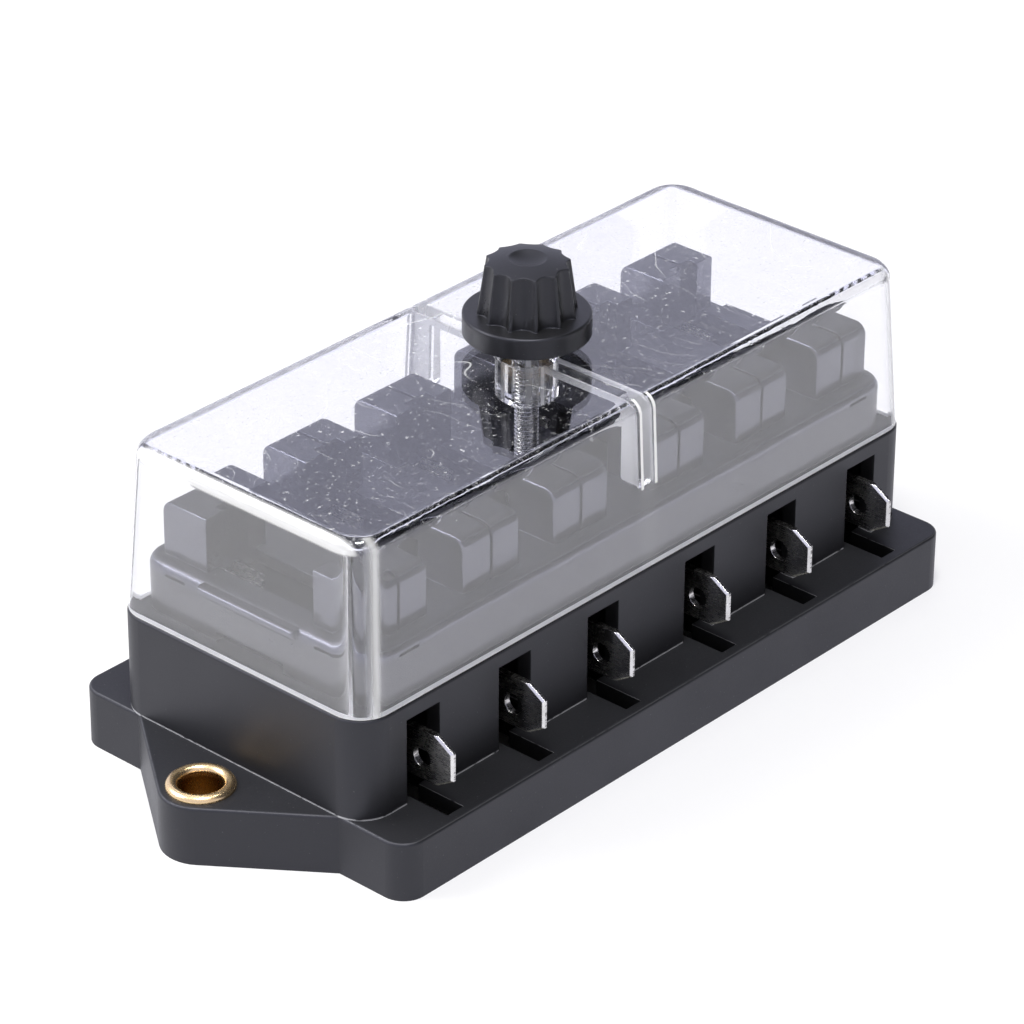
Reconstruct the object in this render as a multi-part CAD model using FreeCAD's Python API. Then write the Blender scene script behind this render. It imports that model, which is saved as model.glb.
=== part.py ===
import FreeCAD, Part
import math
import os

# A six way blade fuse box: a moulded base with two fixing ears, a fuse carrier with twelve pillars,
# twelve blade terminals, a clear cover, and a fluted thumb nut on a central stud.
# Millimetres. +X runs along the row of fuses, +Z is up, and the origin is the middle of the underside.

V = FreeCAD.Vector
UP = V(0, 0, 1)

# How far a cutting block passes the face that it opens, and how near two heights count as the same
cut_past = 1.0
same = 1e-5

# Fuse ways
way_count = 6
way_pitch = 15.2
stud_gap_extra = 2.06
fuse_length = 19.1
fuse_clearance = 0.2

# Pillars and wells of the fuse carrier
pillar_width = 9.4
pillar_depth = 7.0
pillar_height = 6.9
pillar_crown_radius = 1.6
pillar_edge_radius = 0.35
groove_depth = 1.4
groove_width = 3.8
slit_width = 0.5
slit_depth = 0.8
well_width = 5.8
core_wall = 1.5
carrier_thickness = 1.6
carrier_edge_radius = 1.4
carrier_skirt = 1.2
carrier_skirt_depth = 2.9
carrier_clearance = 0.1
plinth_side_margin = 2.3
plinth_end_margin = 1.87
plinth_corner_radius = 3.2
seam_notch_width = 3.2
seam_notch_height = 0.35
seam_notch_depth = 0.8
seam_notch_inset = 5.9
end_lip_width = 15.0
end_lip_height = 1.3
end_lip_reach = 0.8
end_lip_edge_radius = 0.6

# Base moulding
side_ledge = 2.15
end_ledge = 3.2
rim_height = 20.5
upstand_height = 5.4
upstand_wall = 1.6
body_wall = 2.0
body_corner_radius = 4.3
deck_thickness = 2.0
flange_overhang = 6.25
flange_height = 7.5
flange_thickness = 2.2
flange_corner_radius = 3.0
rib_thickness = 1.4
rib_foot = 2.0
edge_radius = 0.4
latch_window_width = 10.6
latch_window_height = 1.4
latch_reach = 0.6
latch_clearance = 0.1

# Fixing ears and their eyelets
ear_reach = 5.7
ear_radius = 4.95
ear_root_half_width = 16.0
ear_wall = 2.0
eyelet_bore = 5.2
eyelet_wall = 0.5
eyelet_head_diameter = 8.15
eyelet_head_height = 0.75
eyelet_foot_diameter = 7.8
eyelet_foot_thickness = 0.6
eyelet_foot_recess = 1.0
eyelet_clearance = 0.05

# Blade terminals
tab_thickness = 0.8
tab_height = 6.4
tab_bottom = 9.9
tab_reach = 4.75
tab_point_length = 2.3
tab_point_drop = 1.4
tab_bevel = 0.25
tab_hole_diameter = 2.6
tab_hole_from_tip = 4.6
tab_hole_drop = 0.35
tab_root_inside = 1.6
neck_height = 4.2
riser_shoulder = 1.2
jaw_length = 4.7
jaw_inner_reach = 5.0
jaw_height = 7.5
jaw_sheet = 0.45
jaw_foot = 1.0
jaw_bow = 1.5
jaw_bow_start = 2.6
jaw_bow_end = 3.9
jaw_flare_height = 1.5
jaw_mouth = 1.25
jaw_pinch = 0.55
terminal_clearance = 0.05
window_width = 5.4
window_headroom = 2.2
flange_slot_width = 2.6
flange_slot_clearance = 0.1
deck_slot_clearance = 0.3

# Stud, its nut and its boss
stud_diameter = 2.9
stud_tip_chamfer = 0.4
stud_tip_clearance = 0.15
stud_head_flats = 5.5
stud_head_height = 2.0
stud_boss_diameter = 9.0
stud_boss_depth = 12.8
stud_clearance = 0.1
nut_height = 2.4
carrier_stud_hole = 4.0

# Clear cover
cover_height = 21.5
cover_seat_gap = 0.05
cover_wall = 1.4
cover_inset = 0.15
cover_draft = 1.2
cover_corner_radius = 4.15
cover_edge_radius = 1.8
cover_inner_corner_radius = 1.2
cover_inner_edge_radius = 0.45
cover_root_radius = 0.35
cover_boss_diameter = 7.5
cover_boss_depth = 7.0
cover_hole_diameter = 3.6
cover_rib_thickness = 2.0
cover_rib_depth = 2.5
cover_leg_reach = 3.0
cover_leg_end = 11.3
cover_leg_bend_radius = 0.5
cover_leg_foot_radius = 0.6

# Thumb nut and its insert
knob_lift = 2.35
knob_height = 9.5
knob_flange_diameter = 15.2
knob_flange_thickness = 2.6
knob_flange_radius = 0.3
knob_foot_diameter = 12.0
knob_crown_diameter = 9.9
knob_dome_rise = 0.7
knob_crown_radius = 0.45
flute_count = 12
flute_turn = 7.0
flute_foot_depth = 0.85
flute_crown_depth = 0.55
flute_share = 0.84
ridge_crown = 0.1
dimple_diameter = 5.0
dimple_depth = 0.7
insert_diameter = 5.0
insert_collar_diameter = 6.2
insert_collar_height = 0.6
insert_length = 5.0
insert_clearance = 0.05
insert_thread_clearance = 0.06
knob_roof = 1.15
knob_stud_room_diameter = 3.6

# Places that follow from the sizes above
way_places = [(i - (way_count - 1) / 2) * way_pitch for i in range(way_count)]
way_places = [x + math.copysign(stud_gap_extra / 2, x) for x in way_places]
way_middles = [(a + b) / 2 for a, b in zip(way_places, way_places[1:])]
groove_reach = fuse_length / 2 + fuse_clearance
pillar_inner = groove_reach - groove_depth
pillar_outer = pillar_inner + pillar_depth
plinth_half_width = pillar_outer + plinth_side_margin
plinth_half_length = way_places[-1] + pillar_width / 2 + plinth_end_margin
body_half_width = plinth_half_width + side_ledge
body_half_length = plinth_half_length + end_ledge
flange_half_width = body_half_width + flange_overhang
ear_place = body_half_length + ear_reach
deck_underside = rim_height - deck_thickness
carrier_seat = rim_height + upstand_height
carrier_top = carrier_seat + carrier_thickness
pillar_top = carrier_top + pillar_height
tab_top = tab_bottom + tab_height
tab_tip = body_half_width + tab_reach
tab_root = body_half_width - body_wall - tab_root_inside
jaw_outer_reach = jaw_inner_reach + jaw_length
cover_foot = rim_height + cover_seat_gap
cover_top = rim_height + cover_height
cover_ceiling = cover_top - cover_wall
knob_bottom = cover_top + knob_lift
knob_flange_top = knob_bottom + knob_flange_thickness
knob_top = knob_bottom + knob_height
knob_room_top = knob_top - dimple_depth - knob_roof
stud_top = knob_room_top - knob_lift - stud_tip_clearance
stud_seat = deck_underside - stud_boss_depth + stud_head_height


def rounded_rectangle(half_x, half_y, radius, z):
    """A closed wire: a rectangle round the origin with round corners, at height z."""
    edges = []
    corners = [(1, 1, 0), (-1, 1, 90), (-1, -1, 180), (1, -1, 270)]
    ends = []
    for sx, sy, start in corners:
        centre = V(sx * (half_x - radius), sy * (half_y - radius), z)
        arc = [centre + V(radius * math.cos(math.radians(a)), radius * math.sin(math.radians(a)), 0)
               for a in (start, start + 45, start + 90)]
        edges.append(Part.Arc(*arc).toShape())
        ends.append((arc[0], arc[2]))
    for i, end in enumerate(ends):
        edges.append(Part.LineSegment(end[1], ends[(i + 1) % 4][0]).toShape())
    return Part.Wire(Part.__sortEdges__(edges))


def rounded_prism(half_x, half_y, radius, low, high):
    """A block with round upright corners between two heights."""
    return Part.Face(rounded_rectangle(half_x, half_y, radius, low)).extrude(UP * (high - low))


def box(x0, x1, y0, y1, z0, z1):
    """A block between two corners."""
    return Part.makeBox(x1 - x0, y1 - y0, z1 - z0, V(x0, y0, z0))


def cylinder(x, y, z0, z1, diameter):
    """An upright cylinder."""
    return Part.makeCylinder(diameter / 2, z1 - z0, V(x, y, z0))


def hexagon(flats, z0, z1):
    """An upright six sided bar on the Z axis, measured across its flats."""
    reach = flats / math.sqrt(3)
    points = [V(reach * math.cos(math.radians(60 * i)), reach * math.sin(math.radians(60 * i)), z0)
              for i in range(7)]
    return Part.Face(Part.makePolygon(points)).extrude(UP * (z1 - z0))


def turned(points):
    """A solid turned about the Z axis from a closed profile of (radius, z) points."""
    wire = Part.makePolygon([V(r, 0, z) for r, z in points + points[:1]])
    return Part.Face(wire).revolve(V(0, 0, 0), UP, 360)


def mirrored(shape, axis):
    """The shape on the other side of the middle plane across the given axis."""
    return shape.mirror(V(0, 0, 0), axis)


def both_sides(shape):
    """The shape together with its mirror image across the long middle plane."""
    return [shape, mirrored(shape, V(0, 1, 0))]


def both_ends(shape):
    """The shape together with its mirror image across the short middle plane."""
    return [shape, mirrored(shape, V(1, 0, 0))]


def edges_where(shape, test):
    """The edges of a shape whose two ends and middle all pass a test on a point."""
    found = []
    for edge in shape.Edges:
        first, last = edge.ParameterRange
        points = [edge.valueAt(first + share * (last - first)) for share in (0, 0.5, 1)]
        if all(test(point) for point in points):
            found.append(edge)
    return found


def round_rim(shape, z, radius):
    """Rounds every edge of a shape that lies in the plane at height z."""
    return shape.makeFillet(radius, edges_where(shape, lambda p: abs(p.z - z) < same))


def joined(shapes):
    """One solid from shapes that overlap."""
    return shapes[0].fuse(shapes[1:]).removeSplitter()


def ear_outline(inset):
    """A wire round a tapered ear, moved inwards by the inset: two straight sides that run from the
    root and are tangent to the arc round the hole."""
    distance = math.hypot(ear_reach, ear_root_half_width)
    lean = math.atan2(-ear_root_half_width, ear_reach) + math.asin(ear_radius / distance)
    radius = ear_radius - inset
    half_root = ear_root_half_width - inset / math.cos(lean)
    inner = body_half_length - body_wall
    touch = V(ear_place - radius * math.sin(lean), radius * math.cos(lean), 0)
    below = V(touch.x, -touch.y, 0)
    line = [touch, V(body_half_length, half_root, 0), V(inner, half_root, 0), V(inner, -half_root, 0),
            V(body_half_length, -half_root, 0), below]
    edges = [Part.LineSegment(a, b).toShape() for a, b in zip(line, line[1:])]
    edges.append(Part.Arc(below, V(ear_place + radius, 0, 0), touch).toShape())
    return Part.Wire(edges)


def ear():
    """A tapered fixing ear with a rounded top edge."""
    solid = Part.Face(ear_outline(0)).extrude(UP * flange_height)
    return round_rim(solid, flange_height, edge_radius)


def ear_hollow():
    """The space under an ear, between the body and the boss round the hole."""
    room = Part.Face(ear_outline(ear_wall)).extrude(UP * (flange_height - flange_thickness))
    room = room.common(box(body_half_length, ear_place, -flange_half_width, flange_half_width,
                           0, flange_height))
    return room.cut(cylinder(ear_place, 0, 0, flange_height, 2 * ear_radius))


def ear_holes():
    """The hole for an eyelet and the recess for its flared foot, in both ears."""
    hole = eyelet_bore + 2 * (eyelet_wall + eyelet_clearance)
    foot = eyelet_foot_diameter + 2 * eyelet_clearance
    return both_ends(cylinder(ear_place, 0, 0, flange_height, hole)) + both_ends(
        cylinder(ear_place, 0, 0, eyelet_foot_recess, foot))


def base_outside():
    """The flange, the body, the upstand and the ears, before anything is cut."""
    flange = rounded_prism(body_half_length, flange_half_width, flange_corner_radius, 0, flange_height)
    flange = round_rim(flange, flange_height, edge_radius)
    body = rounded_prism(body_half_length, body_half_width, body_corner_radius, 0, rim_height)
    body = round_rim(body, rim_height, edge_radius)
    plinth = rounded_prism(plinth_half_length, plinth_half_width, plinth_corner_radius,
                           deck_underside, carrier_seat)
    return joined([flange, body, plinth] + both_ends(ear()))


def base_hollows():
    """The space under the flange, under the deck, inside the upstand and under the ears."""
    half_x = body_half_length - body_wall
    half_y = body_half_width - body_wall
    skirt_half_y = flange_half_width - body_wall
    radius = body_corner_radius - body_wall
    under_flange = rounded_prism(half_x, skirt_half_y, radius, 0, flange_height - flange_thickness)
    under_deck = rounded_prism(half_x, half_y, radius, 0, deck_underside)
    upstand = rounded_prism(plinth_half_length - upstand_wall, plinth_half_width - upstand_wall,
                            plinth_corner_radius - upstand_wall, rim_height, carrier_seat)
    return [under_flange, under_deck, upstand] + both_ends(ear_hollow())


def base_ribs():
    """Walls under the deck: one between every two ways, one down the middle, and a pair that grips
    the terminals."""
    half_x = body_half_length - body_wall / 2
    half_y = body_half_width - body_wall / 2
    half_rib = rib_thickness / 2
    top = deck_underside + deck_thickness / 2
    ribs = [box(x - half_rib, x + half_rib, -half_y, half_y, rib_foot, top) for x in way_middles]
    grip = jaw_outer_reach + riser_shoulder - half_rib
    for y in (-grip, 0, grip):
        ribs.append(box(-half_x, half_x, y - half_rib, y + half_rib, rib_foot, top))
    ribs.append(cylinder(0, 0, deck_underside - stud_boss_depth, top, stud_boss_diameter))
    return ribs


def terminal_openings(x):
    """What is cut for the two terminals of one way: the wall window, the slot up through the
    flange, the slit through the ribs and the slot through the deck."""
    half_window = window_width / 2
    inside = body_half_width - body_wall
    window = box(x - half_window, x + half_window, inside - cut_past, body_half_width + cut_past,
                 flange_height, tab_top + window_headroom)
    half_slot = flange_slot_width / 2
    slot = box(x - half_slot, x + half_slot, inside - cut_past, tab_tip + flange_slot_clearance,
               0, flange_height + cut_past)
    half_slit = tab_thickness / 2 + terminal_clearance
    slit = box(x - half_slit, x + half_slit, jaw_inner_reach - riser_shoulder - terminal_clearance,
               inside, 0, deck_underside)
    half_jaw = jaw_bow + jaw_sheet / 2 + deck_slot_clearance
    jaw = box(x - half_jaw, x + half_jaw, jaw_inner_reach - deck_slot_clearance,
              jaw_outer_reach + deck_slot_clearance, deck_underside - cut_past, rim_height + cut_past)
    cuts = []
    for shape in (window, slot, slit, jaw):
        cuts += both_sides(shape)
    return cuts


def latch_window():
    """The opening low in the end of the upstand that the carrier's latch snaps into."""
    half = latch_window_width / 2
    return box(plinth_half_length - upstand_wall - cut_past, plinth_half_length + cut_past, -half, half,
               rim_height, rim_height + latch_window_height)


def base():
    """The moulded base."""
    shell = base_outside().cut(base_hollows())
    shell = joined([shell] + base_ribs())
    cuts = []
    for x in way_places:
        cuts += terminal_openings(x)
    cuts += both_ends(latch_window()) + ear_holes()
    cuts.append(cylinder(0, 0, 0, carrier_seat, stud_diameter + 2 * stud_clearance))
    cuts.append(hexagon(stud_head_flats + 2 * stud_clearance, 0, stud_seat))
    return shell.cut(cuts)


def pillar(x):
    """One near pillar: a block with a large rounded crown on its outer side, a groove for the end
    of the fuse, a fine slit over its middle, and a core from below."""
    half = pillar_width / 2
    crown = pillar_crown_radius
    outer = -pillar_outer
    inner = -pillar_inner
    bend = crown * (1 - math.sqrt(0.5))
    foot = carrier_seat
    edges = [
        Part.LineSegment(V(0, outer, foot), V(0, outer, pillar_top - crown)).toShape(),
        Part.Arc(V(0, outer, pillar_top - crown), V(0, outer + bend, pillar_top - bend),
                 V(0, outer + crown, pillar_top)).toShape(),
        Part.LineSegment(V(0, outer + crown, pillar_top), V(0, inner, pillar_top)).toShape(),
        Part.LineSegment(V(0, inner, pillar_top), V(0, inner, foot)).toShape(),
        Part.LineSegment(V(0, inner, foot), V(0, outer, foot)).toShape(),
    ]
    block = Part.Face(Part.Wire(edges)).extrude(V(pillar_width, 0, 0))
    block.translate(V(x - half, 0, 0))
    sides = edges_where(block, lambda p: abs(abs(p.x - x) - half) < same and p.z > foot)
    return block.makeFillet(pillar_edge_radius, sides)


def pillar_cuts(x):
    """The groove, the slit and the core of one near pillar."""
    half_groove = groove_width / 2
    groove = box(x - half_groove, x + half_groove, -groove_reach, 0, carrier_seat, pillar_top + cut_past)
    half_slit = slit_width / 2
    crown = pillar_crown_radius
    slit = box(x - half_slit, x + half_slit, -pillar_outer - cut_past, -pillar_inner,
               carrier_top, pillar_top + cut_past)
    core_y = -pillar_outer + slit_depth
    kept = box(x - half_slit, x + half_slit, core_y, -pillar_inner, carrier_seat,
               pillar_top - slit_depth)
    round_part = Part.makeCylinder(crown - slit_depth, slit_width,
                                   V(x - half_slit, -pillar_outer + crown, pillar_top - crown), V(1, 0, 0))
    corner = box(x - half_slit, x + half_slit, core_y, -pillar_outer + crown,
                 pillar_top - crown, pillar_top)
    kept = kept.cut(corner).fuse(round_part)
    half_core = pillar_width / 2 - core_wall
    core = box(x - half_core, x + half_core, -pillar_outer + core_wall, -groove_reach - core_wall,
               carrier_seat, pillar_top - pillar_crown_radius)
    return [groove, slit.cut(kept), core]


def carrier_plate():
    """The top plate of the carrier with its rounded edge and the skirt that locates it."""
    plate = rounded_prism(plinth_half_length, plinth_half_width, plinth_corner_radius,
                          carrier_seat, carrier_top)
    plate = round_rim(plate, carrier_top, carrier_edge_radius)
    gap = upstand_wall + carrier_clearance
    inset = gap + carrier_skirt
    low = carrier_seat - carrier_skirt_depth
    skirt = rounded_prism(plinth_half_length - gap, plinth_half_width - gap,
                          plinth_corner_radius - upstand_wall, low, carrier_seat)
    skirt = skirt.cut(rounded_prism(plinth_half_length - inset, plinth_half_width - inset,
                                    edge_radius, low, carrier_seat))
    return plate.fuse(skirt)


def end_lip():
    """The bead along the middle of the carrier's end."""
    half = end_lip_width / 2
    reach = plinth_half_length + end_lip_reach
    lip = box(reach - carrier_edge_radius - end_lip_reach, reach, -half, half,
              carrier_seat, carrier_seat + end_lip_height)
    front = edges_where(lip, lambda p: abs(p.x - reach) < same)
    return lip.makeFillet(end_lip_edge_radius, front)


def latch():
    """A tongue from the carrier's skirt with a hook that fills the latch window."""
    half = latch_window_width / 2 - latch_clearance
    face = plinth_half_length - upstand_wall - carrier_clearance
    low = rim_height + latch_clearance
    tongue = box(face - carrier_skirt, face, -half, half, low, carrier_seat)
    hook = box(face - carrier_skirt, face + latch_reach, -half, half, low,
               rim_height + latch_window_height - latch_clearance)
    return tongue.fuse(hook)


def seam_notches():
    """Shallow gaps under the edge of the carrier, near its corners."""
    notches = []
    top = carrier_seat + seam_notch_height
    y = plinth_half_width - seam_notch_inset
    half = seam_notch_width / 2
    x = plinth_half_length - seam_notch_inset
    end = box(plinth_half_length - seam_notch_depth, plinth_half_length + cut_past, y - half, y + half,
              carrier_seat, top)
    side = box(x - half, x + half, plinth_half_width - seam_notch_depth, plinth_half_width + cut_past,
               carrier_seat, top)
    for shape in both_sides(end) + both_sides(side):
        notches += both_ends(shape)
    return notches


def carrier():
    """The fuse carrier: the plate that closes the upstand, with a row of pillars on each side."""
    pieces = [carrier_plate()] + both_ends(end_lip()) + both_ends(latch())
    cuts = seam_notches()
    half_well = well_width / 2
    for x in way_places:
        pieces += both_sides(pillar(x))
        for cut in pillar_cuts(x):
            cuts += both_sides(cut)
        cuts.append(box(x - half_well, x + half_well, -pillar_inner, pillar_inner,
                        carrier_seat - carrier_skirt_depth, carrier_top + cut_past))
    cuts.append(cylinder(0, 0, carrier_seat, carrier_top, carrier_stud_hole))
    return joined(pieces).cut(cuts)


def strip(points, thickness):
    """A flat band of even thickness along a line of (x, z) points, as a closed list of points."""
    left = []
    right = []
    for i, (x, z) in enumerate(points):
        before = points[max(i - 1, 0)]
        after = points[min(i + 1, len(points) - 1)]
        sides = []
        for a, b in ((before, (x, z)), ((x, z), after)):
            length = math.hypot(b[0] - a[0], b[1] - a[1])
            if length > 0:
                sides.append((-(b[1] - a[1]) / length, (b[0] - a[0]) / length))
        nx = sum(s[0] for s in sides) / len(sides)
        nz = sum(s[1] for s in sides) / len(sides)
        reach = thickness / 2 / (nx * nx + nz * nz)
        left.append((x + nx * reach, z + nz * reach))
        right.append((x - nx * reach, z - nz * reach))
    return left + right[::-1]


def jaw(x):
    """The two sprung leaves that grip the blade of a fuse: they bow out, pinch and flare."""
    root = deck_underside
    top = root + jaw_height
    half_plate = tab_thickness / 2
    leaf = [
        (half_plate / 2, root),
        (half_plate / 2, root + jaw_foot),
        (jaw_bow, root + jaw_bow_start),
        (jaw_bow, root + jaw_bow_end),
        (jaw_pinch, top - jaw_flare_height),
        (jaw_mouth, top),
    ]
    leaves = []
    for side in (1, -1):
        outline = [V(x + side * px, -jaw_outer_reach, pz) for px, pz in strip(leaf, jaw_sheet)]
        leaves.append(Part.Face(Part.makePolygon(outline + outline[:1])).extrude(V(0, jaw_length, 0)))
    return leaves


def terminal(x):
    """One near terminal: the blade tab outside the body, the neck through the wall, the riser under
    the deck and the jaw above it, all of one sheet."""
    riser_out = jaw_outer_reach + riser_shoulder
    riser_in = jaw_inner_reach - riser_shoulder
    points = [
        (tab_tip, tab_top - tab_point_drop),
        (tab_tip - tab_point_length, tab_top),
        (tab_root, tab_top),
        (tab_root, tab_bottom + neck_height),
        (riser_out, tab_bottom + neck_height),
        (riser_out, deck_underside),
        (riser_in, deck_underside),
        (riser_in, tab_bottom),
        (tab_tip - tab_point_length, tab_bottom),
        (tab_tip, tab_bottom + tab_point_drop),
    ]
    half = tab_thickness / 2
    outline = [V(x - half, -y, z) for y, z in points]
    plate = Part.Face(Part.makePolygon(outline + outline[:1])).extrude(V(tab_thickness, 0, 0))
    hole = Part.makeCylinder(tab_hole_diameter / 2, 2 * tab_thickness,
                             V(x - tab_thickness, -tab_tip + tab_hole_from_tip,
                               tab_bottom + tab_height / 2 - tab_hole_drop), V(1, 0, 0))
    nose = edges_where(plate, lambda p: p.y < -tab_tip + tab_point_length + same
                       and abs(abs(p.x - x) - half) < same)
    plate = plate.makeChamfer(tab_bevel, nose)
    return joined([plate.cut(hole)] + jaw(x))


def stud():
    """The long screw that holds the cover: a hexagon head in the boss and a chamfered tip."""
    radius = stud_diameter / 2
    head = hexagon(stud_head_flats, stud_seat - stud_head_height, stud_seat)
    shank = turned([(0, stud_seat - stud_head_height / 2), (radius, stud_seat - stud_head_height / 2),
                    (radius, stud_top - stud_tip_chamfer), (radius - stud_tip_chamfer, stud_top),
                    (0, stud_top)])
    return joined([head, shank])


def nut():
    """The nut that clamps the stud down on the deck."""
    solid = hexagon(stud_head_flats, rim_height, rim_height + nut_height)
    return solid.cut(cylinder(0, 0, rim_height, rim_height + nut_height,
                              stud_diameter + 2 * insert_thread_clearance))


def eyelet(x):
    """A rolled eyelet: a round rolled head on the ear, a thin tube and a flared foot below."""
    bore = eyelet_bore / 2
    tube = bore + eyelet_wall
    head = eyelet_head_diameter / 2
    foot = eyelet_foot_diameter / 2
    foot_low = eyelet_foot_recess - eyelet_foot_thickness
    low = flange_height
    high = flange_height + eyelet_head_height

    def line(a, b):
        return Part.LineSegment(V(a[0], 0, a[1]), V(b[0], 0, b[1])).toShape()

    roll = Part.Arc(V(head, 0, low), V((head + bore) / 2, 0, high), V(bore, 0, low)).toShape()
    edges = [
        line((bore, foot_low), (foot, foot_low)),
        line((foot, foot_low), (foot, eyelet_foot_recess)),
        line((foot, eyelet_foot_recess), (tube, eyelet_foot_recess)),
        line((tube, eyelet_foot_recess), (tube, low)),
        line((tube, low), (head, low)),
        roll,
        line((bore, low), (bore, foot_low)),
    ]
    solid = Part.Face(Part.Wire(edges)).revolve(V(0, 0, 0), UP, 360)
    solid.translate(V(x, 0, 0))
    return solid


def tapered_block(half_x, half_y, radius, draft, low, high):
    """A block with round corners that narrows upwards by the draft on every side."""
    lower = rounded_rectangle(half_x, half_y, radius, low)
    upper = rounded_rectangle(half_x - draft, half_y - draft, radius, high)
    return Part.makeLoft([lower, upper], True, True)


def wall_middle(z):
    """Half the distance between the middles of the cover's long walls at height z."""
    rise = (z - cover_foot) / (cover_top - cover_foot)
    return body_half_width - cover_inset - cover_wall / 2 - cover_draft * rise


def cover_rib():
    """The rib across the cover, from wall to wall through the boss, with a leg down each wall."""
    under = cover_top - cover_rib_depth
    foot = cover_top - cover_leg_end
    top = cover_ceiling + cover_wall / 2
    inner = wall_middle(foot) - cover_wall / 2 - cover_leg_reach
    half = [(wall_middle(top), top), (wall_middle(foot), foot), (inner, foot), (inner, under)]
    points = half + [(-y, z) for y, z in half[::-1]]
    low_x = -cover_rib_thickness / 2
    outline = [V(low_x, y, z) for y, z in points]
    rib = Part.Face(Part.makePolygon(outline + outline[:1])).extrude(V(cover_rib_thickness, 0, 0))
    bends = edges_where(rib, lambda p: abs(p.z - under) < same and abs(abs(p.y) - inner) < same)
    rib = rib.makeFillet(cover_leg_bend_radius, bends)
    corners = edges_where(rib, lambda p: abs(p.z - foot) < same and abs(abs(p.y) - inner) < same)
    return rib.makeFillet(cover_leg_foot_radius, corners)


def cover_boss():
    """The round boss that hangs from the cover's top, with a flared root and a chamfered end."""
    radius = cover_boss_diameter / 2
    root = cover_ceiling - cover_root_radius
    flare = radius + cover_root_radius
    bend = cover_root_radius * math.sqrt(0.5)
    low = cover_top - cover_boss_depth
    top = cover_ceiling + cover_wall / 2
    line = [V(radius, 0, root), V(radius, 0, low + edge_radius), V(radius - edge_radius, 0, low),
            V(0, 0, low), V(0, 0, top), V(flare, 0, top), V(flare, 0, cover_ceiling)]
    edges = [Part.LineSegment(a, b).toShape() for a, b in zip(line, line[1:])]
    edges.append(Part.Arc(line[-1], V(flare - bend, 0, root + bend), line[0]).toShape())
    return Part.Face(Part.Wire(edges)).revolve(V(0, 0, 0), UP, 360)


def round_roots(shell, inside):
    """Rounds the corners where the sides of the rib meet the ceiling and the walls."""
    half = cover_rib_thickness / 2
    skin = inside.Shells[0]
    roots = edges_where(shell, lambda p: abs(abs(p.x) - half) < same
                        and skin.distToShape(Part.Vertex(p))[0] < same)
    return shell.makeFillet(cover_root_radius, roots)


def cover():
    """The clear cover: a thin box with drafted walls, a hanging boss and the rib across it."""
    half_x = body_half_length - cover_inset
    half_y = body_half_width - cover_inset
    outside = tapered_block(half_x, half_y, cover_corner_radius, cover_draft, cover_foot, cover_top)
    outside = round_rim(outside, cover_top, cover_edge_radius)
    inside = tapered_block(half_x - cover_wall, half_y - cover_wall, cover_inner_corner_radius,
                           cover_draft, cover_foot, cover_ceiling)
    inside = round_rim(inside, cover_ceiling, cover_inner_edge_radius)
    shell = round_roots(joined([outside.cut(inside), cover_rib()]), inside)
    shell = joined([shell, cover_boss()])
    return shell.cut(cylinder(0, 0, rim_height, cover_top + cut_past, cover_hole_diameter))


def fluted_outline(diameter, depth, z):
    """A closed wire of equal flutes of one depth: narrow round ridges joined by hollow arcs."""
    ridge = diameter / 2
    hollow = ridge - depth
    step = 2 * math.pi / flute_count
    share = step * flute_share / 2

    def at(radius, angle):
        return V(radius * math.cos(angle), radius * math.sin(angle), z)

    edges = []
    shoulder = ridge - ridge_crown
    for i in range(flute_count):
        middle = math.radians(flute_turn) + i * step
        start = middle - share
        end = middle + share
        following = middle + step - share
        edges.append(Part.Arc(at(shoulder, start), at(hollow, middle), at(shoulder, end)).toShape())
        edges.append(Part.Arc(at(shoulder, end), at(ridge, (end + following) / 2),
                              at(shoulder, following)).toShape())
    return Part.Wire(edges)


def knob():
    """The fluted thumb nut: a tapered fluted grip with a domed top on a round flange."""
    rim = knob_flange_diameter / 2
    disc = turned([(0, knob_bottom), (rim, knob_bottom), (rim, knob_flange_top), (0, knob_flange_top)])
    disc = round_rim(disc, knob_flange_top, knob_flange_radius)
    foot = fluted_outline(knob_foot_diameter, flute_foot_depth, knob_flange_top - knob_flange_radius)
    top = fluted_outline(knob_crown_diameter, flute_crown_depth, knob_top)
    grip = Part.makeLoft([foot, top], True, True)
    crown = knob_crown_diameter / 2
    dome_radius = (crown * crown + knob_dome_rise * knob_dome_rise) / (2 * knob_dome_rise)
    dome = Part.makeSphere(dome_radius, V(0, 0, knob_top - dome_radius))
    shoulder = turned([(0, knob_bottom), (rim, knob_bottom), (rim, knob_flange_top),
                       (crown + knob_crown_radius, knob_top - knob_dome_rise - knob_crown_radius),
                       (crown - knob_crown_radius, knob_top), (0, knob_top)])
    grip = grip.common(dome).common(shoulder)
    dimple_radius = dimple_diameter / 2
    ball = (dimple_radius * dimple_radius + dimple_depth * dimple_depth) / (2 * dimple_depth)
    dimple = Part.makeSphere(ball, V(0, 0, knob_top - dimple_depth + ball))
    collar = insert_collar_diameter + 2 * insert_clearance
    socket = insert_diameter + 2 * insert_clearance
    insert_end = knob_bottom + insert_length + insert_clearance
    room = [
        cylinder(0, 0, knob_bottom, knob_bottom + insert_collar_height + insert_clearance, collar),
        cylinder(0, 0, knob_bottom, insert_end, socket),
        cylinder(0, 0, knob_bottom, knob_room_top, knob_stud_room_diameter),
    ]
    return joined([disc, grip]).cut([dimple] + room)


def insert():
    """The threaded bush in the thumb nut, with a collar flush with its underside."""
    outer = insert_diameter / 2
    collar = insert_collar_diameter / 2
    bore = stud_diameter / 2 + insert_thread_clearance
    collar_top = knob_bottom + insert_collar_height
    top = knob_bottom + insert_length
    return turned([(bore, knob_bottom), (collar, knob_bottom), (collar, collar_top), (outer, collar_top),
                   (outer, top), (bore, top)])


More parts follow.
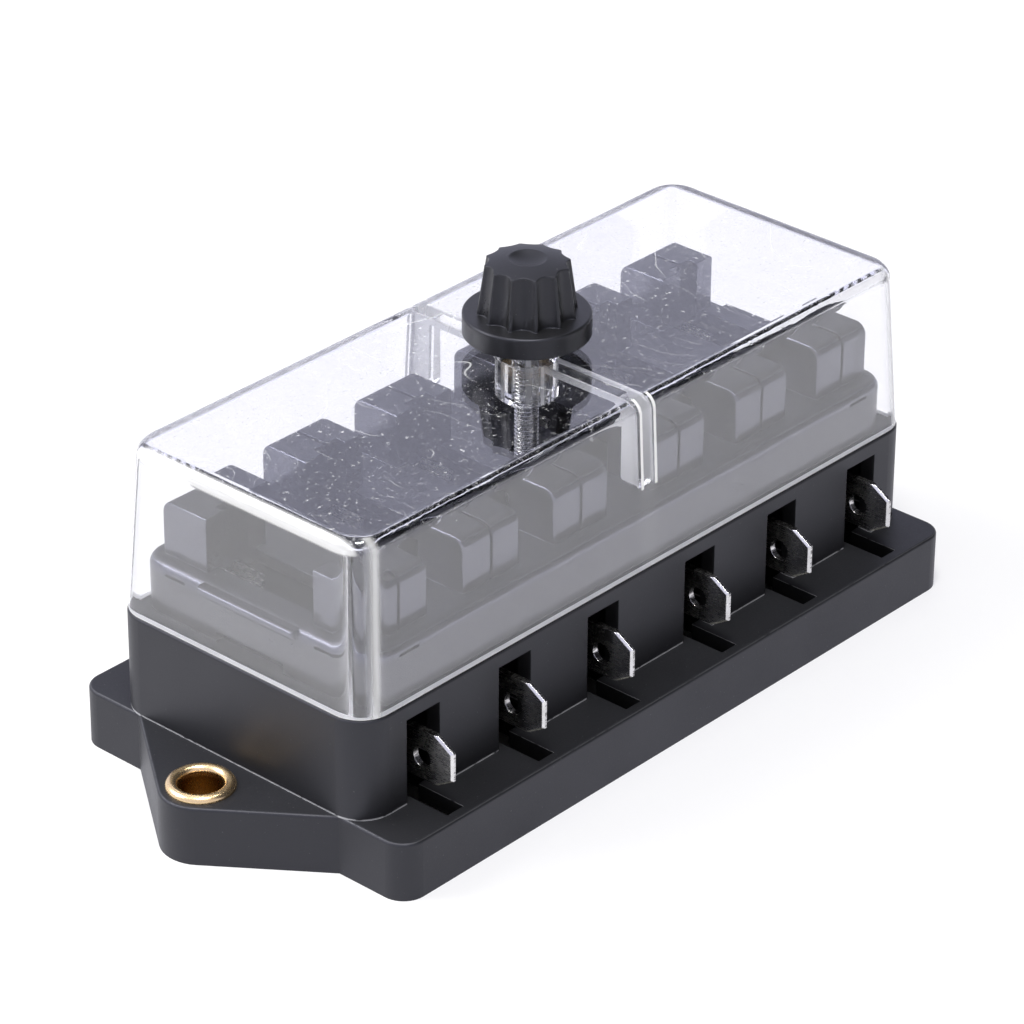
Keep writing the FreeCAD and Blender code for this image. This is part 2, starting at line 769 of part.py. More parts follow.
def build():
    """Every sub-part by name."""
    parts = {
        "base": base(),
        "fuse_carrier": carrier(),
        "clear_cover": cover(),
        "cover_stud": stud(),
        "stud_nut": nut(),
        "eyelet_left": eyelet(-ear_place),
        "eyelet_right": eyelet(ear_place),
        "thumb_nut": knob(),
        "thumb_nut_insert": insert(),
    }
    for number, x in enumerate(way_places, start=1):
        near = terminal(x)
        parts["terminal_near_%d" % number] = near
        parts["terminal_far_%d" % number] = mirrored(near, V(0, 1, 0))
    return parts


os.makedirs("parts", exist_ok=True)
for name, shape in build().items():
    shape.exportStep("parts/%s.step" % name)
    bounds = shape.BoundBox
    print("%s: %d solid, valid %s, volume %.1f, z %.2f to %.2f, x %.2f to %.2f, y %.2f to %.2f" % (
        name, len(shape.Solids), shape.isValid(), shape.Volume, bounds.ZMin, bounds.ZMax,
        bounds.XMin, bounds.XMax, bounds.YMin, bounds.YMax))
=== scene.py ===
# %% [markdown]
# # A blade fuse box with a clear cover
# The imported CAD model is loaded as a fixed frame. It already has the true shapes of the base, the fuse
# carrier, the terminals, the eyelets, the cover and the thumb nut. What it lacks is their finish, and
# the fine forms that are too small for the solids, such as the thread of the stud. This script adds
# both, and then lights the box as a small product on white paper.

# %% Load the frame
import math

import bpy
import numpy as np
from mathutils import Matrix, Vector


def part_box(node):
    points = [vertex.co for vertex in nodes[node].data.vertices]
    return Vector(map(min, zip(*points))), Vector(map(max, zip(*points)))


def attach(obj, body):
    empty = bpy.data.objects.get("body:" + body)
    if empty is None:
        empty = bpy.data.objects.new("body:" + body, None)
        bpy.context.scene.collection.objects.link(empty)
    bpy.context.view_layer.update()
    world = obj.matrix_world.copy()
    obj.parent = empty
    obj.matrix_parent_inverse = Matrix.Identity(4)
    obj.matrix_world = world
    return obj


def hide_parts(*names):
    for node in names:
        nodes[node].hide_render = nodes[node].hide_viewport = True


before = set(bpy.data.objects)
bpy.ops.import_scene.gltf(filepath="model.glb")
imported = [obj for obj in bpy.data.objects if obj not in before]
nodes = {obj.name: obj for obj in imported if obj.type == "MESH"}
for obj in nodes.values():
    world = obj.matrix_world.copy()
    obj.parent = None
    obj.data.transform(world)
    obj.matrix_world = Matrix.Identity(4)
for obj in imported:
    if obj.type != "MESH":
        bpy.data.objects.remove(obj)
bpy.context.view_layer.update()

MM = 0.001

# %% [markdown]
# ## The camera
# A long lens stands well away from the box, above its near left corner, so that the upright edges stay
# almost parallel. The place, the two angles and the small roll come from fitting a camera to the
# straight edges of the real box. A camera looks along its own -Z, so its +Z is the direction "back"
# from the box to the lens.

# %% Camera
CAMERA_PLACE = Vector((-363.1, -323.46, 293.75)) * MM
CAMERA_AZIMUTH = math.radians(-48.114)
CAMERA_ELEVATION = math.radians(29.365)
CAMERA_ROLL = math.radians(0.357)
LENS_MM = 165.43

camera_data = bpy.data.cameras.new("camera")
camera_data.lens = LENS_MM
camera_data.sensor_width = 36.0
camera = bpy.data.objects.new("camera", camera_data)
bpy.context.scene.collection.objects.link(camera)
back = Vector((
    math.sin(CAMERA_AZIMUTH) * math.cos(CAMERA_ELEVATION),
    -math.cos(CAMERA_AZIMUTH) * math.cos(CAMERA_ELEVATION),
    math.sin(CAMERA_ELEVATION),
))
across = Vector((0, 0, 1)).cross(back).normalized()
upward = back.cross(across)
right = across * math.cos(CAMERA_ROLL) + upward * math.sin(CAMERA_ROLL)
above = upward * math.cos(CAMERA_ROLL) - across * math.sin(CAMERA_ROLL)
axes = Matrix((right, above, back)).transposed()
camera.matrix_world = Matrix.Translation(CAMERA_PLACE) @ axes.to_4x4()
bpy.context.scene.camera = camera
print("camera is", round(CAMERA_PLACE.length, 3), "m from the middle of the underside")

# %% [markdown]
# ## Small helpers for node materials
# Every finish below is a Principled shader with a few procedural nodes in front of it. These helpers
# keep the node code short: one adds a node and fills its sockets by name, one starts a material, and
# the others make noise, masks and mixtures of them. A mask is a value from 0 to 1 that says where
# something is, and masks are combined by multiplying them or by taking the larger one.

# %% Material helpers
def add_node(tree, kind, sockets=None, **settings):
    """A new node. Settings are its own properties, and sockets its input values by name."""
    made = tree.nodes.new("ShaderNode" + kind)
    for key, value in settings.items():
        setattr(made, key, value)
    for key, value in (sockets or {}).items():
        made.inputs[key].default_value = value
    return made


def start_material(name, sockets):
    """A material, its tree, its Principled shader with plain sockets set, and Object coordinates."""
    material = bpy.data.materials.new(name)
    material.use_nodes = True
    tree = material.node_tree
    shader = tree.nodes["Principled BSDF"]
    for key, value in sockets.items():
        shader.inputs[key].default_value = value
    place = add_node(tree, "TexCoord").outputs["Object"]
    return material, tree, shader, place


def noise(tree, place, per_mm, detail=2.0, roughness=0.5):
    """Noise from 0 to 1 with about per_mm blobs to the millimetre."""
    made = add_node(tree, "TexNoise", {"Scale": per_mm / MM, "Detail": detail, "Roughness": roughness})
    tree.links.new(place, made.inputs["Vector"])
    return made.outputs["Fac"]


def remap(tree, value, low, high, to_low, to_high, smooth=False):
    """The value's stretch from low to high, moved to that from to_low to to_high, and kept in it."""
    made = add_node(tree, "MapRange", {"From Min": low, "From Max": high, "To Min": to_low,
                                       "To Max": to_high})
    if smooth:
        made.interpolation_type = "SMOOTHSTEP"
    tree.links.new(value, made.inputs["Value"])
    return made.outputs["Result"]


def mix_colour(tree, share, first, second):
    """Colour between two RGB triples, or sockets, by the share."""
    made = add_node(tree, "Mix", data_type="RGBA")
    tree.links.new(share, made.inputs["Factor"])
    for name, colour in (("A", first), ("B", second)):
        socket = [s for s in made.inputs if s.name == name and s.type == "RGBA"][0]
        if isinstance(colour, tuple):
            socket.default_value = (*colour, 1)
        else:
            tree.links.new(colour, socket)
    return [s for s in made.outputs if s.type == "RGBA"][0]


def combine(tree, operation, first, second):
    """Two values, or a value and a number, put together by a maths operation."""
    made = add_node(tree, "Math", operation=operation)
    for socket, value in zip(made.inputs, (first, second)):
        if isinstance(value, (int, float)):
            socket.default_value = value
        else:
            tree.links.new(value, socket)
    return made.outputs["Value"]


def product(tree, first, second):
    """Two values multiplied, which for masks is where both are."""
    return combine(tree, "MULTIPLY", first, second)


def larger(tree, masks):
    """The largest of some values, which for masks is where any of them is."""
    whole = masks[0]
    for mask in masks[1:]:
        whole = combine(tree, "MAXIMUM", whole, mask)
    return whole


def along(tree, vector, axis):
    """One coordinate of a vector, by its letter."""
    split = add_node(tree, "SeparateXYZ")
    tree.links.new(vector, split.inputs[0])
    return split.outputs[axis]


def size_of(tree, value):
    """The value without its sign."""
    return combine(tree, "ABSOLUTE", value, 0)


def facing(tree, axis):
    """How far a face looks along an axis, either way: 1 if it faces along it, 0 if it lies along it."""
    return size_of(tree, along(tree, add_node(tree, "TexCoord").outputs["Normal"], axis))


def relief(tree, shader, height, depth_mm, edge_mm):
    """Bump of that depth on the shader, over edges that catch light as if rounded by edge_mm."""
    bump = add_node(tree, "Bump", {"Strength": 1.0, "Distance": depth_mm * MM})
    tree.links.new(height, bump.inputs["Height"])
    if edge_mm > 0:
        edge = add_node(tree, "Bevel", {"Radius": edge_mm * MM}, samples=6)
        tree.links.new(edge.outputs["Normal"], bump.inputs["Normal"])
    tree.links.new(bump.outputs["Normal"], shader.inputs["Normal"])


# %% [markdown]
# ## Black moulded plastic
# The base and the carrier are moulded in one black plastic. Its surface comes from a spark-eroded
# mould: an even grain of about a fifth of a millimetre, which breaks up reflections and makes the
# black look charcoal wherever it mirrors white paper. Slow changes of tone and sheen keep large faces
# from looking printed, and a few small specks of dust lie on it. The parts under the cover left a
# polished mould, so their upright sides are glossier than the outside of the base. Where the walls
# stand on the flange, a thin pale line along their foot is a painted highlight, broken in places.
#
# A picture of the grain could be wrapped round each piece. Noise that reads Object coordinates was
# chosen instead, because it needs no unwrapping, never repeats and stays sharp from nearby. The
# carrier has less grain, and the thumb nut is smoother with rounder edges, but all three are the same
# kind of plastic, so one function makes their finishes.

# %% Moulded plastic
COOL = (0.88, 0.885, 1.0)
COOLER = (0.80, 0.81, 1.0)
DARK_CAST = np.array((0.93, 0.94, 1.0))
LIGHT_CAST = np.array((0.95, 0.96, 1.0))
LIGHT_SHARE = 1.7
DUST_SHARE = 9.0
# The pale colour of the painted highlight along the foot of the walls.
FOOT_HIGHLIGHT_COLOUR = (0.34, 0.34, 0.36)
LEAST_TILT, FULL_TILT = 0.6, 0.98
POLISH = 0.6
UPRIGHT_LEVEL, FLAT_LEVEL = 0.43, 0.36
FADE = 0.1 * MM
LATCH_HEIGHT = 1.4 * MM
FOOT_LINE = 0.14 * MM
LEDGE = 7.5 * MM
ABOVE_ALL = 1.0


def level_faces(tree, to_low, to_high):
    """A value that goes from to_low on upright faces to to_high on level ones."""
    return remap(tree, facing(tree, "Z"), LEAST_TILT, FULL_TILT, to_low, to_high, True)


def sides_above(tree, place, height):
    """1 on upright faces above a height, else 0."""
    higher = remap(tree, along(tree, place, "Z"), height, height + FADE, 0, 1)
    return product(tree, level_faces(tree, 1, 0), higher)


def moulded_plastic(name, tone, sheen, edge_mm, grain_mm, ior, tint,
                    polished_above=ABOVE_ALL, foot=ABOVE_ALL):
    """Black plastic with a fine grain. tone is its brightness, sheen its roughness at the smoothest,
    grain_mm the depth of the grain. Upright faces above a height are polished, and a painted highlight,
    a pale line, runs along them where they stand on a ledge at the foot's height. A piece that lacks
    either gets a height above the whole box."""
    material, tree, shader, place = start_material(name, {"IOR": ior, "Specular Tint": (*tint, 1)})
    cloud = noise(tree, place, per_mm=0.09, detail=3)
    grain = noise(tree, place, per_mm=5.0, detail=3, roughness=0.6)
    dust = remap(tree, noise(tree, place, per_mm=3.4, detail=1), 0.76, 0.79, 0, 0.8)
    dark, light = tone * DARK_CAST, LIGHT_SHARE * tone * LIGHT_CAST
    body = mix_colour(tree, cloud, tuple(dark), tuple(light))
    body = mix_colour(tree, dust, body, (DUST_SHARE * tone,) * 3)
    # Painted highlight: a pale, patchy line along the foot of the upright faces, just above the ledge.
    highlight_patches = remap(tree, noise(tree, place, per_mm=0.8), 0.3, 0.45, 0, 1)
    foot_highlight = product(tree, sides_above(tree, place, foot - FADE), highlight_patches)
    foot_highlight = combine(tree, "SUBTRACT", foot_highlight, sides_above(tree, place, foot + FOOT_LINE))
    tree.links.new(mix_colour(tree, foot_highlight, body, FOOT_HIGHLIGHT_COLOUR), shader.inputs["Base Color"])
    smooth = remap(tree, cloud, 0.3, 0.7, sheen, sheen + 0.1)
    rough = combine(tree, "ADD", smooth, remap(tree, grain, 0.2, 0.8, -0.05, 0.05))
    polish = sides_above(tree, place, polished_above)
    rough = combine(tree, "SUBTRACT", rough, remap(tree, polish, 0, 1, 0, POLISH * sheen))
    rough = combine(tree, "ADD", rough, level_faces(tree, 0, 0.1))
    tree.links.new(rough, shader.inputs["Roughness"])
    level = larger(tree, [polish, level_faces(tree, UPRIGHT_LEVEL, FLAT_LEVEL)])
    tree.links.new(level, shader.inputs["Specular IOR Level"])
    relief(tree, shader, grain, grain_mm, edge_mm)
    return material


carrier_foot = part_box("fuse_carrier")[0].z
nodes["base"].data.materials[0] = moulded_plastic(
    "black_plastic", tone=0.007, sheen=0.42, edge_mm=0.18, grain_mm=0.008, ior=1.58, tint=COOL,
    polished_above=carrier_foot, foot=LEDGE)
nodes["fuse_carrier"].data.materials[0] = moulded_plastic(
    "carrier_plastic", tone=0.007, sheen=0.42, edge_mm=0.15, grain_mm=0.002, ior=1.72, tint=COOLER,
    polished_above=carrier_foot + LATCH_HEIGHT)
nodes["thumb_nut"].data.materials[0] = moulded_plastic(
    "knob_plastic", tone=0.009, sheen=0.28, edge_mm=0.26, grain_mm=0.003, ior=1.52, tint=COOL)
print("moulded plastic on base, fuse_carrier and thumb_nut")

# %% [markdown]
# ## Sheet metal and turned metal
# The terminals are stamped from brass sheet and tinned: bright, slightly grey, with faint rolling
# lines, and with fine teeth where the sheet was sheared. The stud and its nut are zinc plated steel.
# The eyelets and the bush are bare brass, which darkens a little in patches. Down the bore of the
# eyelets a darker brown is painted shade. All are metals with uneven roughness and a very shallow
# relief. They could be three separate node trees, but they differ only in tone, roughness and the run
# of their lines, so one function with those as its arguments makes them all.

# %% Metals
ALONG_Y = (1.0, 0.08, 1.0)
ACROSS_X = (0.25, 1.0, 1.0)
EVEN = (1.0, 1.0, 1.0)
LINE_DEPTH_MM = 0.001
DARK_TIN = (0.16, 0.155, 0.15)
# The darker brown that is painted as shade down the bore of the eyelets.
BORE_SHADE_BROWN = (0.30, 0.17, 0.05)


def stretched(tree, place, scale):
    """The place with each coordinate scaled, which draws a pattern out along those below 1."""
    made = add_node(tree, "Mapping", {"Scale": scale})
    tree.links.new(place, made.inputs["Vector"])
    return made.outputs["Vector"]


def bare_metal(name, light, dark, smooth, rough, lines_per_mm, stretch, edge_mm, darkening=None):
    """A metal between two tones, with roughness from smooth to rough and lines drawn out by the stretch.
    The last argument, if given, is a function that gives a share of a darker tone, and that tone: for
    the tin the dark teeth of sheared edges, for the brass the painted shade down the bore of an eyelet."""
    material, tree, shader, place = start_material(name, {"Metallic": 1.0, "IOR": 1.5})
    patches = noise(tree, place, per_mm=0.5, detail=4, roughness=0.6)
    lines = noise(tree, stretched(tree, place, stretch), lines_per_mm)
    tone = mix_colour(tree, remap(tree, patches, 0.35, 0.7, 0, 1), light, dark)
    if darkening:
        share, darker = darkening(tree, place)
        tone = mix_colour(tree, share, tone, darker)
    tree.links.new(tone, shader.inputs["Base Color"])
    uneven = product(tree, patches, lines)
    tree.links.new(remap(tree, uneven, 0.1, 0.45, smooth, rough), shader.inputs["Roughness"])
    relief(tree, shader, lines, LINE_DEPTH_MM, edge_mm)
    return material


def sheared_edges(tree, place):
    """Fine dark teeth across the edges of the sheet, which is flat to X."""
    teeth = noise(tree, stretched(tree, place, ACROSS_X), per_mm=4.5)
    edge = remap(tree, facing(tree, "X"), 0.3, 0.7, 1, 0)
    return product(tree, edge, remap(tree, teeth, 0.46, 0.60, 0, 0.9)), DARK_TIN


def painted_bore_shade(tree, place):
    """Painted shade: a darker brown down the bore of an eyelet, below its rolled rim."""
    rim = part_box("eyelet_left")[1].z
    return remap(tree, along(tree, place, "Z"), rim - 1.3 * MM, rim - 0.5 * MM, 1, 0), BORE_SHADE_BROWN


tinned_brass = bare_metal(
    "tinned_brass", light=(0.72, 0.71, 0.70), dark=(0.58, 0.57, 0.55), smooth=0.18, rough=0.38,
    lines_per_mm=12.0, stretch=ALONG_Y, edge_mm=0.12, darkening=sheared_edges)
plated_steel = bare_metal(
    "plated_steel", light=(0.78, 0.78, 0.79), dark=(0.60, 0.60, 0.60), smooth=0.18, rough=0.36,
    lines_per_mm=8.0, stretch=EVEN, edge_mm=0.05)
brass = bare_metal(
    "brass", light=(0.87, 0.66, 0.37), dark=(0.77, 0.54, 0.27), smooth=0.20, rough=0.34,
    lines_per_mm=6.0, stretch=EVEN, edge_mm=0.0, darkening=painted_bore_shade)

for name, node in nodes.items():
    if name.startswith("terminal"):
        node.data.materials[0] = tinned_brass
for name in ("eyelet_left", "eyelet_right", "thumb_nut_insert"):
    nodes[name].data.materials[0] = brass
nodes["stud_nut"].data.materials[0] = plated_steel
print("tinned brass on", sum(name.startswith("terminal") for name in nodes), "terminals")

# %% [markdown]
# ## Clear plastic
# The cover is moulded in clear polystyrene, so it bends light more than window glass does. Its walls
# are faintly hazy, and its lower edge is ground, so that it shows as a white line all round. The cover
# has been handled: fine scratches and specks lie on its top and along its rounded edges. The white lines
# where the rib meets the top and the sides, the white band on the short top edges and an upright white
# strip at the near corners are painted highlights. Each of these is a mask where the plastic turns
# cloudy white, and the largest one takes transmission away. Marks make the surface rough as well.
#
# The masks could be painted on an unwrapped cover. Here they are found by formula, from the height of
# a point and its distance from the middle or from the walls, so they follow the cover's own sizes.

# %% Clear cover
CLEAR_IOR = 1.58
GROUND_EDGE = 0.05 * MM
ROUNDING = 1.8 * MM
TOP_SKIN = 0.1 * MM
RIB_HALF_WIDTH = 1.3 * MM
ROOT_WIDTH = 0.2 * MM
LEG_END = 11.3 * MM
END_BAND = 2.4 * MM
CORNER = 4.15 * MM
LEAN = 1.2 * MM
STRIP_RISES = (0.6 * MM, 1.5 * MM)
STRIP_FALLS = (1.6 * MM, 2.4 * MM)
ROUND_CORNER = (2.0 * MM, 2.4 * MM)
WALL_HAZE = 0.035
RIB_HAZE = 0.06
# The next three are painted highlights: how white the rib's roots, the short top edges and the upright
# strips at the near corners are made.
ROOT_PAINTED_HIGHLIGHT = 0.85
END_PAINTED_HIGHLIGHT = 0.50
CORNER_PAINTED_HIGHLIGHT = 0.40
cover_low, cover_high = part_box("clear_cover")
clear, tree, shader, place = start_material("clear_plastic", {
    "Base Color": (1, 1, 1, 1), "Transmission Weight": 1.0, "IOR": CLEAR_IOR, "Roughness": 0.0})
height = along(tree, place, "Z")
from_middle = size_of(tree, along(tree, place, "X"))
top, end = cover_high.z, cover_high.x
on_foot = remap(tree, height, cover_low.z + 0.4 * GROUND_EDGE, cover_low.z + GROUND_EDGE, 1, 0)
on_top = remap(tree, height, top - TOP_SKIN, top - 0.2 * TOP_SKIN, 0, 1)
below_top = remap(tree, on_top, 0, 1, 1, 0)
on_rounding = remap(tree, height, top - ROUNDING, top - 0.8 * ROUNDING, 0, 1)

specks = remap(tree, noise(tree, place, per_mm=3.2), 0.755, 0.795, 0, 0.5)
hairs = add_node(tree, "TexWave", {"Scale": 60.0, "Distortion": 40.0, "Detail": 3.0, "Detail Scale": 0.4})
tree.links.new(place, hairs.inputs["Vector"])
thin = remap(tree, hairs.outputs["Fac"], 0.9985, 1.0, 0, 0.35)
patchy = remap(tree, noise(tree, place, per_mm=0.12), 0.46, 0.58, 0, 1)
scratches = product(tree, product(tree, thin, patchy), on_top)
worn = remap(tree, noise(tree, place, per_mm=1.6, detail=4, roughness=0.7), 0.60, 0.72, 0, 0.5)
marks = larger(tree, [specks, scratches, product(tree, worn, on_rounding), on_foot])

on_rib = remap(tree, from_middle, RIB_HALF_WIDTH, RIB_HALF_WIDTH + 0.1 * MM, RIB_HAZE, 0)
from_root = size_of(tree, combine(tree, "SUBTRACT", from_middle, RIB_HALF_WIDTH - 0.1 * MM))
above_leg = remap(tree, height, top - LEG_END, top - LEG_END + 0.2 * MM, 0, 1)
# Painted highlight: white lines along the roots of the rib, above the legs.
painted_root_lines = product(tree, remap(tree, from_root, ROOT_WIDTH, 1.25 * ROOT_WIDTH, ROOT_PAINTED_HIGHLIGHT, 0), above_leg)
# Painted highlight: a white band on the rounding of the short top edges.
near_end = remap(tree, from_middle, end - END_BAND, end - END_BAND + 0.5 * MM, 0, END_PAINTED_HIGHLIGHT)
painted_end_band = product(tree, on_rounding, near_end)
# Painted highlight: an upright white strip at the near corners, leaning in towards the top.
lean = remap(tree, height, cover_low.z, top, -CORNER, -CORNER - LEAN)
nearer = combine(tree, "SUBTRACT", cover_low.y, along(tree, place, "Y"))
past_side = combine(tree, "SUBTRACT", nearer, lean)
past_end = combine(tree, "SUBTRACT", combine(tree, "SUBTRACT", from_middle, end), lean)
strip = product(tree, remap(tree, past_end, *STRIP_RISES, 0, CORNER_PAINTED_HIGHLIGHT, True),
                remap(tree, past_end, *STRIP_FALLS, 1, 0, True))
painted_corner_strip = product(tree, strip, remap(tree, past_side, *ROUND_CORNER, 0, 1))
wall = remap(tree, on_rounding, 0, 1, WALL_HAZE, 0.0)
# The rib's faint haze together with the painted highlights, kept off the top face.
haze_and_painted_highlights = product(tree, larger(tree, [on_rib, painted_root_lines, painted_end_band, painted_corner_strip]), below_top)

# Real haze, the ground edge and marks, and the painted highlights, all turn the plastic cloudy white.
cloudy_and_painted_highlights = larger(tree, [marks, wall, haze_and_painted_highlights])
tree.links.new(combine(tree, "SUBTRACT", 1.0, cloudy_and_painted_highlights), shader.inputs["Transmission Weight"])
tree.links.new(remap(tree, marks, 0, 1, 0.0, 0.5), shader.inputs["Roughness"])
nodes["clear_cover"].data.materials[0] = clear
print("clear plastic with an index of", CLEAR_IOR)

# %% [markdown]
# ## The stud and its thread
# The solid stud is a plain cylinder at the outer size of its thread. Here it gets the real M3 thread,
# because it stands in full view inside the clear boss. A thread can be made with a screw modifier, but
# one formula does it in a single grid: the height of each point rises with its angle, so every row of
# the grid is a helix, and the radius swings between crest and root from row to row.

# %% Meshes from numpy grids
def grid_mesh(name, points, material):
    """A mesh from points[row, column, xyz]. Columns close into a ring, and each end ring gets a cap."""
    rows, columns, _ = points.shape
    index = np.arange(rows * columns).reshape(rows, columns)
    following = np.roll(index, -1, axis=1)
    quads = np.stack([index[:-1], following[:-1], following[1:], index[1:]], axis=-1).reshape(-1, 4)
    faces = quads.tolist() + [index[0][::-1].tolist(), index[-1].tolist()]
    mesh = bpy.data.meshes.new(name)
    mesh.from_pydata(points.reshape(-1, 3).tolist(), [], faces)
    mesh.materials.append(material)
    mesh.update()
    made = bpy.data.objects.new(name, mesh)
    bpy.context.scene.collection.objects.link(made)
    return made


def helical_thread(radius, depth, pitch, low, high, chamfer, columns=36, rows_per_turn=8):
    """Points of an outside thread about the Z axis.
    Height = low + pitch * (row / rows_per_turn + angle / full turn), kept between low and high.
    Radius = outer radius less depth * a wave that is flat at the crest and at the root, and never more
    than the chamfer allows near the top."""
    turns = (high - low) / pitch + 2
    row = np.arange(int(turns * rows_per_turn))[:, None]
    angle = np.linspace(0, 2 * math.pi, columns, endpoint=False)[None, :]
    height = low + pitch * (row / rows_per_turn + angle / (2 * math.pi) - 1)
    phase = (row % rows_per_turn) / rows_per_turn + 0 * angle
    groove = np.clip(1.35 - 4.0 * np.abs(phase - 0.5), 0, 1)
    reach = radius - depth * groove
    reach = np.minimum(reach, radius - chamfer + np.clip(high - height, 0, chamfer))
    height = np.clip(height, low, high)
    return np.stack([reach * np.cos(angle), reach * np.sin(angle), height], axis=-1)


# %% Stud
STUD_RADIUS = 1.45 * MM
THREAD_PITCH = 0.5 * MM
THREAD_DEPTH = 0.27 * MM
HEAD_HEIGHT = 2.0 * MM
HEAD_FLATS = 5.5 * MM
STUD_CHAMFER = 0.4 * MM
HEAD_CHAMFER = 0.25 * MM
stud_low, stud_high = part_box("cover_stud")
head_top = stud_low.z + HEAD_HEIGHT
thread = grid_mesh("cover_stud_thread", helical_thread(
    STUD_RADIUS, THREAD_DEPTH, THREAD_PITCH, head_top, stud_high.z, STUD_CHAMFER), plated_steel)
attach(thread, "housing")
print("thread faces:", len(thread.data.polygons))


def hexagon_head(flats, low, high, chamfer, columns=48):
    """Points of a six sided head on the Z axis with chamfered corners.
    Radius at an angle = half the width across flats / cosine of the angle from the nearest flat's
    middle, and on the top and bottom rows no more than half the width across flats."""
    angle = np.linspace(0, 2 * math.pi, columns, endpoint=False)
    side = math.pi / 3
    reach = flats / 2 / np.cos((angle % side) - side / 2)
    trimmed = np.minimum(reach, flats / 2 * 1.02)
    rings = [(trimmed, low), (reach, low + chamfer), (reach, high - chamfer), (trimmed, high)]
    return np.stack([np.stack([r * np.cos(angle), r * np.sin(angle), 0 * r + z], axis=-1)
                     for r, z in rings])


head = grid_mesh("cover_stud_head", hexagon_head(
    HEAD_FLATS, stud_low.z, head_top, HEAD_CHAMFER), plated_steel)
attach(head, "housing")
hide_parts("cover_stud")

# %% [markdown]
# ## Floor
# The box stands on white paper. The paper is a plain diffuse white for the light that it bounces onto
# the box. For the camera, for reflections and through the clear cover it also glows a little, so that
# it reads as white while the box still leaves its soft shadow. Stronger lamps would whiten it too, but
# they would bleach the cover and the black plastic as well. The paper doesn't glow where the box covers
# it, so the slots of the base and the holes of the eyelets stay dark.

# %% Floor
FLOOR_HALF = 1.5
BODY_HALF_LENGTH = 47.4 * MM
BODY_HALF_WIDTH = 24.8 * MM
PAPER_GLOW = 0.545
MIRROR_TINT = (0.88, 0.89, 1.12)
PAPER_TINT = (0.87, 0.875, 0.98)
PAPER_SHADE = (0.46, 0.455, 0.42)
PAPER_BOUNCE = (0.8, 0.8, 0.8)
corners = [(x * FLOOR_HALF, y * FLOOR_HALF, 0) for x, y in ((-1, -1), (1, -1), (1, 1), (-1, 1))]
mesh = bpy.data.meshes.new("floor")
mesh.from_pydata(corners, [], [(0, 1, 2, 3)])
floor = bpy.data.objects.new("floor", mesh)
bpy.context.scene.collection.objects.link(floor)


def seen_directly(tree):
    """1 for rays from the camera, in reflections and through clear plastic, else 0."""
    path = add_node(tree, "LightPath")
    kinds = ("Camera", "Glossy", "Transmission")
    return larger(tree, [path.outputs["Is " + kind + " Ray"] for kind in kinds])


def cool_in_mirrors(tree, plain):
    """A plain colour for the camera, and faintly blue in reflections, as daylight lamps leave it."""
    return mix_colour(tree, add_node(tree, "LightPath").outputs["Is Glossy Ray"], plain, MIRROR_TINT)


def beside_box(tree):
    """0 on the paper under the body of the box, else 1: the share of the paper that glows."""
    place = add_node(tree, "TexCoord").outputs["Object"]
    past = [combine(tree, "SUBTRACT", size_of(tree, along(tree, place, axis)), half)
            for axis, half in (("X", BODY_HALF_LENGTH), ("Y", BODY_HALF_WIDTH))]
    return combine(tree, "GREATER_THAN", larger(tree, past), 0)


paper = bpy.data.materials.new("paper")
paper.use_nodes = True
tree = paper.node_tree
tree.nodes.clear()
bounce = add_node(tree, "BsdfDiffuse", {"Color": (*PAPER_BOUNCE, 1)})
shade = add_node(tree, "BsdfDiffuse", {"Color": (*PAPER_SHADE, 1)})
glow = add_node(tree, "Emission")
tree.links.new(cool_in_mirrors(tree, PAPER_TINT), glow.inputs["Color"])
tree.links.new(remap(tree, beside_box(tree), 0, 1, 0, PAPER_GLOW), glow.inputs["Strength"])
shown = add_node(tree, "AddShader")
either = add_node(tree, "MixShader")
out = add_node(tree, "OutputMaterial")
tree.links.new(shade.outputs[0], shown.inputs[0])
tree.links.new(glow.outputs[0], shown.inputs[1])
tree.links.new(seen_directly(tree), either.inputs[0])
tree.links.new(bounce.outputs[0], either.inputs[1])
tree.links.new(shown.outputs[0], either.inputs[2])
tree.links.new(either.outputs[0], out.inputs["Surface"])
floor.data.materials.append(paper)
dark_patch = [round(2 * half / MM, 1) for half in (BODY_HALF_LENGTH, BODY_HALF_WIDTH)]
print("floor is", 2 * FLOOR_HALF, "m wide, and doesn't glow over", dark_patch, "mm under the box")

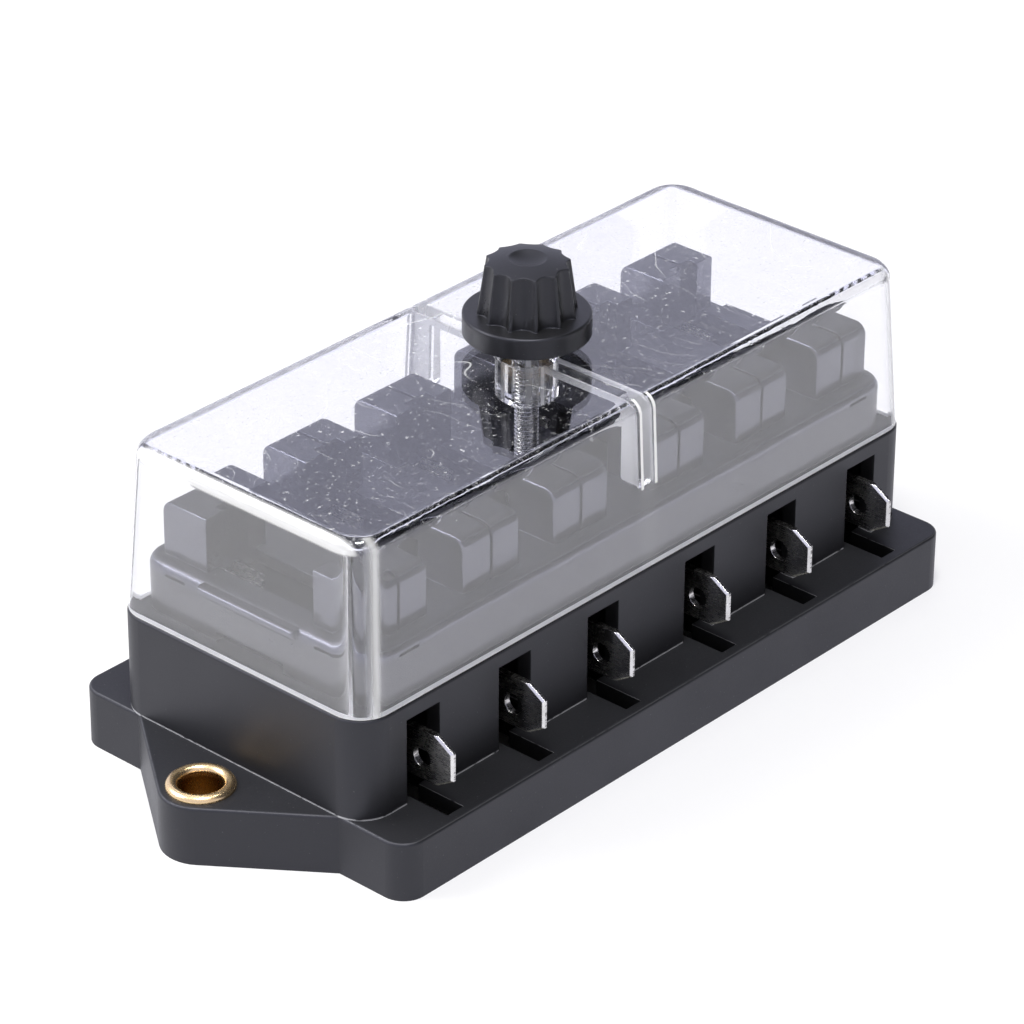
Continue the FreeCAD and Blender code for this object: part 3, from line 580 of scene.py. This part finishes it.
# %% [markdown]
# ## Light
# A small product like this stands in a white tent, with one large soft lamp behind it and a smaller one
# above. A picture of a studio could stand for the tent. A plain white world does the same here, and its
# one dark side, at the right, draws the dark line along the cover's near edge. Clear walls inside clear
# walls take many turns of a ray, so more bounces are allowed than by default.

# %% World and lamps
AMBIENT = 0.62
WHITE = (1.0, 1.0, 1.0)
DARK_SIDE = Vector((0.65, -0.45, 0.60)).normalized()
DARK_WITHIN = math.cos(math.radians(32))
LIGHT_BEYOND = math.cos(math.radians(48))
DARK_LEVEL = 0.03
BOX_MIDDLE = Vector((0, 0, 0.02))
BOUNCES = 16
MIRROR_BOUNCES = 12
world = bpy.data.worlds.new("world")
bpy.context.scene.world = world
world.use_nodes = True
tree = world.node_tree
background = tree.nodes["Background"]
tree.links.new(cool_in_mirrors(tree, WHITE), background.inputs["Color"])
towards = add_node(tree, "VectorMath", operation="DOT_PRODUCT")
towards.inputs[1].default_value = DARK_SIDE
tree.links.new(add_node(tree, "TexCoord").outputs["Generated"], towards.inputs[0])
lit = remap(tree, towards.outputs["Value"], LIGHT_BEYOND, DARK_WITHIN, 1, DARK_LEVEL, True)
strength = remap(tree, seen_directly(tree), 0, 1, AMBIENT, 1.0)
tree.links.new(product(tree, strength, lit), background.inputs["Strength"])


def soft_lamp(name, place, size, power):
    """A square area lamp at a place in metres, turned to the middle of the box."""
    data = bpy.data.lights.new(name, "AREA")
    data.size = size
    data.energy = power
    lamp = bpy.data.objects.new(name, data)
    bpy.context.scene.collection.objects.link(lamp)
    lamp.location = place
    lamp.rotation_euler = (BOX_MIDDLE - Vector(place)).to_track_quat("-Z", "Y").to_euler()


soft_lamp("key", (-0.44, 0.52, 0.60), size=0.55, power=6.0)
soft_lamp("fill", (-0.16, -0.15, 0.88), size=0.22, power=6.0)
print("two soft lamps, and a world at", AMBIENT, "for the light that falls on the box")
scene = bpy.context.scene
scene.view_settings.view_transform = "Standard"
scene.cycles.max_bounces = BOUNCES
scene.cycles.transmission_bounces = BOUNCES
scene.cycles.glossy_bounces = MIRROR_BOUNCES
